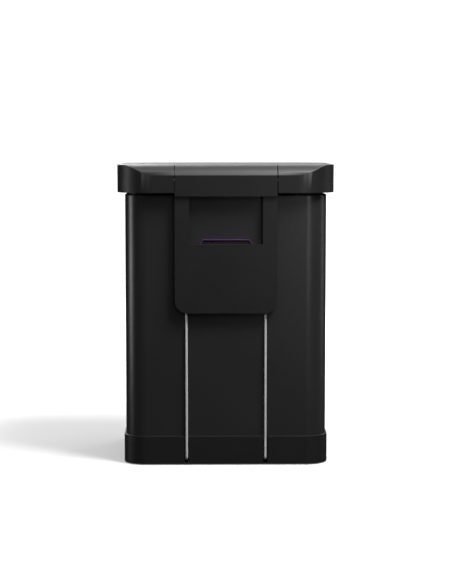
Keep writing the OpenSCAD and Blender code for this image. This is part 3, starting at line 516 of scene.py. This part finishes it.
class COMPACTOR_OT_stage(bpy.types.Operator):
    """Camera behind the bin, a pale floor that gives off painted light, faint near the bin and white farther out, and
    soft studio light
    """

    bl_idname = "compactor.stage"
    bl_label = "Stage"

    def execute(self, context):
        p = context.scene.compactor_stage
        high = cad_box[1]
        camera = bpy.data.cameras.new("camera")
        camera.lens = p.lens
        camera.sensor_width = 36
        camera.clip_end = 50
        eye = bpy.data.objects.new("camera", camera)
        eye.location = (CAMERA_SIDE, high.y + p.camera_distance, p.camera_height)
        turn = math.atan2(CAMERA_SIDE - AIM_SIDE, p.camera_distance + AIM_DEPTH)
        eye.rotation_euler = (math.pi / 2 - p.camera_tilt, 0, math.pi - turn)
        scene.collection.objects.link(eye)
        scene.camera = eye
        grid = FLOOR_REACH * np.array([[-1, -1, 0], [1, -1, 0], [1, 1, 0], [-1, 1, 0]], float)
        mesh = bpy.data.meshes.new("floor")
        mesh.from_pydata(grid.tolist(), [], [(0, 1, 2, 3)])
        floor = bpy.data.objects.new("floor", mesh)
        scene.collection.objects.link(floor)
        g = Graph(bpy.data.materials.new("floor"))
        tint = g.blend(tuple(p.floor_colour), tuple(c * 0.97 for c in p.floor_colour), g.noise(4.0).ramp(0.4, 0.7))
        # painted light: the floor emits light, faint near the bin and full white from 2.5 m out, on top of the lamps'
        # light
        far = g.node("ShaderNodeVectorMath", {"operation": "LENGTH"}, {0: g.place}, 1).ramp(0.5, 2.5)
        painted_floor_glow = g.blend((0.15, 0.15, 0.15), (1.0, 1.0, 1.0), far)
        mesh.materials.append(g.finish(
            Base_Color=tint, Roughness=0.8, Specular_IOR_Level=0.1, Emission_Color=painted_floor_glow, Emission_Strength=1.0))
        floor.visible_glossy = False
        floor.visible_diffuse = False
        self.light("key", (-1.4, 1.1, 3.2), (0, 0.1, 0.3), (1.1, 1.1), p.key_power)
        for lamp in LIGHTS:
            self.light(*lamp)
        scene.world = self.dome(p.dome_light)
        scene.view_settings.view_transform = "Standard"
        scene.view_settings.look = "None"
        return {"FINISHED"}

    def dome(self, brightness):
        """White to the camera; as light, a dome that fades out towards the horizon."""
        g = Graph(bpy.data.worlds.new("studio"), "ShaderNodeOutputWorld", "Generated")
        up = g.node("ShaderNodeSeparateXYZ", {}, {0: g.place}, "Z")
        strength = g.node(
            "ShaderNodeMapRange", {"interpolation_type": "SMOOTHSTEP"},
            {"Value": up, 1: DOME_FOOT, 2: DOME_TOP, 3: HORIZON_LIGHT, 4: brightness})
        lit = g.node("ShaderNodeBackground", {}, {"Color": (1, 1, 1, 1), "Strength": strength})
        seen = g.node("ShaderNodeBackground", {}, {"Color": (1, 1, 1, 1), "Strength": BACKDROP_LIGHT})
        to_camera = g.node("ShaderNodeLightPath", {}, {}, "Is Camera Ray")
        return g.surface(g.node("ShaderNodeMixShader", {}, {0: to_camera, 1: lit, 2: seen}))

    def light(self, name, place, aim, size, power):
        """Adds a rectangular light at place that faces aim."""
        data = bpy.data.lights.new(name, "AREA")
        data.shape = "RECTANGLE"
        data.size, data.size_y = size
        data.energy = power
        lamp = bpy.data.objects.new(name, data)
        lamp.location = place
        direction = np.array(aim, float) - np.array(place, float)
        flat = math.hypot(direction[0], direction[1])
        lamp.rotation_euler = (
            math.pi / 2 - math.atan2(-direction[2], flat), 0, math.atan2(direction[1], direction[0]) - math.pi / 2)
        lamp.visible_camera = False
        scene.collection.objects.link(lamp)


class COMPACTOR_OT_finishes(bpy.types.Operator):
    """Finishes of the pieces that keep their engineering shape"""

    bl_idname = "compactor.finishes"
    bl_label = "Finishes"

    def execute(self, context):
        f = context.scene.compactor_finish
        finishes = {
            "base_plastic": moulded_plastic("base_plastic", tuple(f.shell_colour), f.grain_size),
            "body_paint": powder_coat("body_paint", tuple(f.body_colour)),
            "lid_plastic": moulded_plastic("lid_plastic", tuple(f.shell_colour), f.grain_size),
            "housing_plastic": moulded_plastic("housing_plastic", tuple(f.shell_colour), f.grain_size),
            "black_rubber": soft_rubber("black_rubber"),
            "bucket_plastic": moulded_plastic("bucket_plastic", tuple(f.bucket_colour), f.grain_size),
            "grey_plastic": moulded_plastic("grey_plastic", (0.07, 0.07, 0.073), f.grain_size),
            "rod_steel": drawn_steel("rod_steel"),
            "zinc_steel": zinc_steel("zinc_steel"),
            "dark_steel": powder_coat("dark_steel", (0.012, 0.012, 0.013)),
            "purple_plastic": moulded_plastic("purple_plastic", tuple(f.trim_colour), f.grain_size, 0.25),
            "carbon_foam": carbon_foam("carbon_foam"),
        }
        softened = {
            "lid_shell": 0.0012, "hinge_housing": 0.0012, "base_tray": 0.0012, "body_shell": 0.0003,
            "lid_top_panel": 0.0006, "rim_collar": 0.0008, "inner_bucket": 0.001,
            "press_plate": 0.0008, "bag_ring": 0.0006, "filter_frame": 0.0003,
        }
        for name, width in softened.items():
            soften(frame["nodes"][name], width)
        slots = {row["node"]: row["material_slot"] for row in frame["record"]["subparts"]}
        for name, node in frame["nodes"].items():
            node.data.materials.clear()
            node.data.materials.append(finishes[slots[name]])
        return {"FINISHED"}


class COMPACTOR_PT_panel(bpy.types.Panel):
    """Lists the pieces"""

    bl_idname = "COMPACTOR_PT_panel"
    bl_label = "Trash compactor"
    bl_space_type = "VIEW_3D"
    bl_region_type = "UI"
    bl_category = "Compactor"

    def draw(self, context):
        for operator in OPERATORS:
            self.layout.operator(operator.bl_idname)


OPERATORS = [
    COMPACTOR_OT_finishes, COMPACTOR_OT_springs, COMPACTOR_OT_feet, COMPACTOR_OT_pedal, COMPACTOR_OT_stage]
GROUPS = {"compactor_finish": CompactorFinish, "compactor_stage": CompactorStage}


def register():
    for group in GROUPS.values():
        bpy.utils.register_class(group)
    for key, group in GROUPS.items():
        setattr(bpy.types.Scene, key, bpy.props.PointerProperty(type=group))
    for made in [*OPERATORS, COMPACTOR_PT_panel]:
        bpy.utils.register_class(made)


def unregister():
    for made in reversed([*OPERATORS, COMPACTOR_PT_panel]):
        bpy.utils.unregister_class(made)
    for key, group in GROUPS.items():
        delattr(bpy.types.Scene, key)
        bpy.utils.unregister_class(group)


def main():
    register()
    bpy.ops.compactor.finishes()
    bpy.ops.compactor.springs()
    bpy.ops.compactor.feet()
    bpy.ops.compactor.pedal()
    bpy.ops.compactor.stage()


if __name__ == "__main__":
    main()
